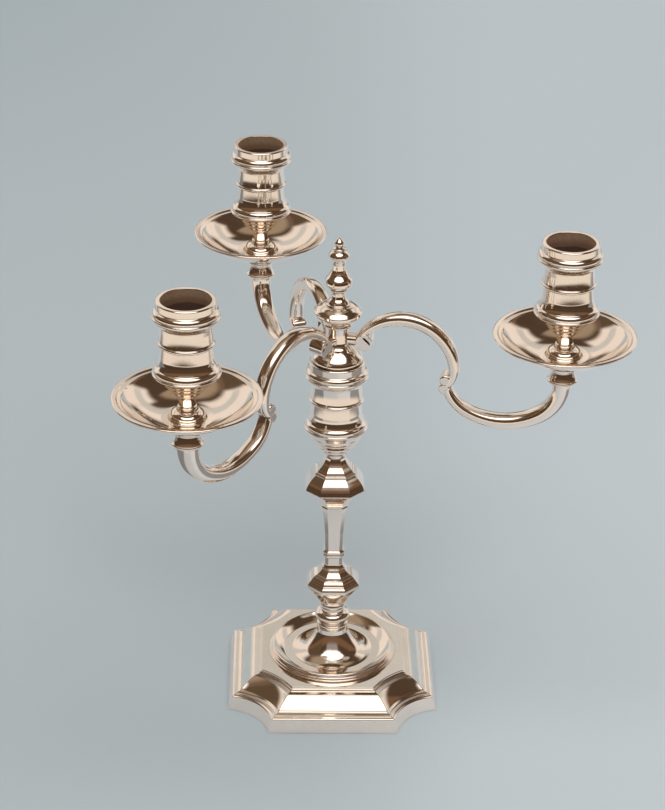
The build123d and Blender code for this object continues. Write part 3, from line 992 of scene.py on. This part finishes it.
def paper_material():
    """Grey-blue paper with painted light, lighter to the right, and painted shade far to the left. In the
    silver it ends at the table's edges, where it glows as a painted reflection of the table.
    """
    material = bpy.data.materials.new("paper")
    material.use_nodes = True
    n = Nodes(material.node_tree)
    coords = n.new("ShaderNodeTexCoord").outputs["Object"]
    grain = n.noise(coords, 900.0, 3.0, 0.6)
    tone = n.mix(n.step(grain, 0.3, 0.7), rgb(0.385, 0.464, 0.516), rgb(0.40, 0.479, 0.531))
    x, y, _ = n.new("ShaderNodeSeparateXYZ", Vector=coords).outputs
    # Painted light and shade on the paper: lighter towards the right, brighter still right of a line
    # through the stem, and painted shade far behind on the left
    lighter = n.math("SUBTRACT", n.math("MULTIPLY", x, 0.9), n.math("MULTIPLY", y, 0.45))
    tone = n.mix(n.math("ADD", lighter, 0.10, clamp=True), tone, rgb(0.55, 0.62, 0.66))
    bearing = n.math("DIVIDE", x, n.math("ADD", y, 1.05))
    tone = n.mix(n.step(bearing, -0.02, 0.09), tone, rgb(1.12, 1.12, 1.13), "MULTIPLY")
    far_left = n.math("MULTIPLY", n.step(y, 0.35, 1.3), n.step(bearing, 0.06, -0.16))
    tone = n.mix(far_left, tone, rgb(0.84, 0.86, 0.88), "MULTIPLY")
    # In the silver the paper is darker to its left and right, where it runs out of the light
    mirrored = n.new("ShaderNodeLightPath").outputs["Is Glossy Ray"]
    beside = n.math("SUBTRACT", n.math("ABSOLUTE", x), n.math("MULTIPLY", n.math("ABSOLUTE", y), 1.3))
    dusk = n.math("MULTIPLY", n.math("MULTIPLY", n.step(beside, 0.06, 0.13), mirrored), 0.62)
    # In the silver the paper is also painted lighter, a painted light on its reflection
    untinted_and_brightened = n.mix(mirrored, tone, n.mix(1.0, tone, rgb(1.2, 1.16, 1.2), "MULTIPLY"))
    shader = n.new("ShaderNodeBsdfPrincipled", Roughness=0.9)
    n.join(n.mix(dusk, untinted_and_brightened, rgb(0.02, 0.02, 0.018)), shader.inputs["Base Color"])
    n.join(0.1, shader.inputs["Specular IOR Level"])
    # and beyond its front and side edges, in the silver only, it glows with a painted reflection of the
    # table
    away = n.new("ShaderNodeVectorMath", Vector=coords)
    away.operation = "LENGTH"
    away = away.outputs["Value"]
    outside = n.math("MULTIPLY", n.step(away, 0.40, 0.47), n.step(y, 0.30, 0.05))
    table = n.mix(n.step(away, 0.85, 1.0), seen(232, 212, 190), seen(70, 52, 36))
    table_reflection_glow = n.new("ShaderNodeEmission", Color=table, Strength=1.0)
    surface = n.new("ShaderNodeMixShader")
    n.join(n.math("MULTIPLY", outside, mirrored), surface.inputs[0])
    n.join(shader.outputs[0], surface.inputs[1])
    n.join(table_reflection_glow.outputs[0], surface.inputs[2])
    n.new("ShaderNodeOutputMaterial", Surface=surface.outputs[0])
    return material


def add_floor():
    """The paper's sheet under the foot and out beyond the picture."""
    h = FLOOR_HALF
    data = bpy.data.meshes.new("floor")
    data.from_pydata([(-h, -h, 0), (h, -h, 0), (h, h, 0), (-h, h, 0)], [], [(0, 1, 2, 3)])
    data.materials.append(paper_material())
    floor = bpy.data.objects.new("floor", data)
    bpy.context.scene.collection.objects.link(floor)


def soft_box(n, way, centre_side, centre_height, half_wide, half_high, soft):
    """1 inside a soft-edged rounded box of sky, in degrees, side 0 to the front, + to the right."""
    a, e = radians(centre_side - 90), radians(centre_height)
    ahead = Vector((cos(a) * cos(e), sin(a) * cos(e), sin(e)))
    across = Vector((-sin(a), cos(a), 0))
    front = n.dot(way, ahead)
    spans = []
    for axis, half in ((across, half_wide), (ahead.cross(across), half_high)):
        turn = n.math("DEGREES", n.math("ARCTAN2", n.dot(way, axis), front))
        spans.append(n.math("POWER", n.math("ABSOLUTE", n.math("DIVIDE", turn, half)), 2.6))
    return n.step(n.math("ADD", *spans), 1 + soft, 1 - soft)


# Pale walls behind, each with its sides and its heights in degrees
WALLS = [
    (-168, -118, -12, 50),
    (118, 152, -12, 47),
    (150, 181, 20, 38),
    (-181, -150, 20, 38),
]


def room_in_silver(n, way, x, y, z):
    """The room as the silver shows it: dark brown, with a tan ceiling, pale walls behind, paper
    low down behind and a lit white box overhead in front."""

    def lay(base, share, *color):
        return n.mix(share, base, seen(*color))

    def over(a, b):
        return n.math("MULTIPLY", a, b)

    height = n.math("DEGREES", n.math("ARCSINE", z))
    side = n.math("DEGREES", n.math("ARCTAN2", x, n.math("MULTIPLY", y, -1.0)))
    off = n.math("ABSOLUTE", side)
    room = seen(76, 57, 41)
    room = lay(room, over(n.between(height, 18, 31, 3), n.step(off, 130, 110)), 115, 82, 58)
    room = lay(room, over(n.between(height, 30, 44, 4), n.step(off, 36, 24)), 150, 135, 125)
    left_wall = n.between(side, -125, -58, 8)
    room = lay(room, over(left_wall, n.between(height, 25, 50, 5)), 90, 70, 50)
    room = lay(room, over(left_wall, n.step(height, 47, 53)), 110, 85, 65)
    ceiling = n.math("ADD", n.math("MULTIPLY", n.between(side, 55, 130, 10), 15), 58)
    room = lay(room, n.step(n.math("SUBTRACT", height, ceiling), -4, 5), 155, 130, 103)
    room = lay(room, n.step(height, 78, 84), 235, 228, 212)
    for left, right, bottom, top in WALLS:
        wall = over(n.between(side, left, right, 5), n.between(height, bottom, top, 4))
        room = lay(room, wall, 236, 214, 194)
    above = over(n.step(off, 118, 126), n.between(height, 30, 39, 1.5))
    room = lay(room, over(above, 0.75), 186, 180, 168)
    room = lay(room, over(n.step(off, 132, 140), n.step(height, 14, 9)), 176, 180, 176)
    return n.mix(soft_box(n, way, 2, 62, 31, 19, 0.4), room, rgb(2.2, 2.15, 2.1))


def light_on_paper(n, way, y, z):
    """What lights the paper: a broad box overhead in front and a pale wall behind."""
    behind = n.math("MULTIPLY", n.step(y, -0.15, 0.35), n.step(z, 0.98, 0.85))
    wash = n.mix(behind, seen(70, 52, 36), rgb(0.80, 0.66, 0.55))
    return n.mix(soft_box(n, way, -2, 68, 34, 27, 0.2), wash, rgb(3.2, 3.1, 3.0))


def add_world():
    """One light for what the silver mirrors and another for everything else."""
    world = bpy.data.worlds.new("studio")
    bpy.context.scene.world = world
    world.use_nodes = True
    n = Nodes(world.node_tree)
    way = n.new("ShaderNodeTexCoord").outputs["Generated"]
    x, y, z = n.new("ShaderNodeSeparateXYZ", Vector=way).outputs
    mirrored = n.new("ShaderNodeLightPath").outputs["Is Glossy Ray"]
    lit = n.mix(mirrored, light_on_paper(n, way, y, z), room_in_silver(n, way, x, y, z))
    background = n.new("ShaderNodeBackground", Color=lit, Strength=1.0)
    n.new("ShaderNodeOutputWorld", Surface=background.outputs[0])


# The camera: lens and sensor in millimetres, distance and aim in metres, turns in degrees
LENS, SENSOR, SIDE_SHIFT = 107.26, 36.0, -0.0048
AIM_HEIGHT, DISTANCE = 0.1578, 1.17975
AZIMUTH, PITCH, ROLL = -91.52, 27.604, 1.088


def add_camera():
    """A long lens a little above the piece, looking down at its stem from the front."""
    data = bpy.data.cameras.new("camera")
    data.sensor_width = SENSOR
    data.lens = LENS
    data.shift_x = SIDE_SHIFT
    data.clip_start = 0.05
    camera = bpy.data.objects.new("camera", data)
    bpy.context.scene.collection.objects.link(camera)
    bpy.context.scene.camera = camera
    azimuth, pitch, roll = radians(AZIMUTH), radians(PITCH), radians(ROLL)
    back = Vector((cos(azimuth) * cos(pitch), sin(azimuth) * cos(pitch), sin(pitch)))
    right = Vector((-sin(azimuth), cos(azimuth), 0))
    up = back.cross(right)
    rolled_right = right * cos(roll) + up * sin(roll)
    rolled_up = up * cos(roll) - right * sin(roll)
    facing = Matrix((rolled_right, rolled_up, back)).transposed().to_4x4()
    place = Vector((0, 0, AIM_HEIGHT)) + back * DISTANCE
    camera.matrix_world = Matrix.Translation(place) @ facing


add_floor()
add_world()
add_camera()
bpy.context.scene.view_settings.view_transform = "Standard"
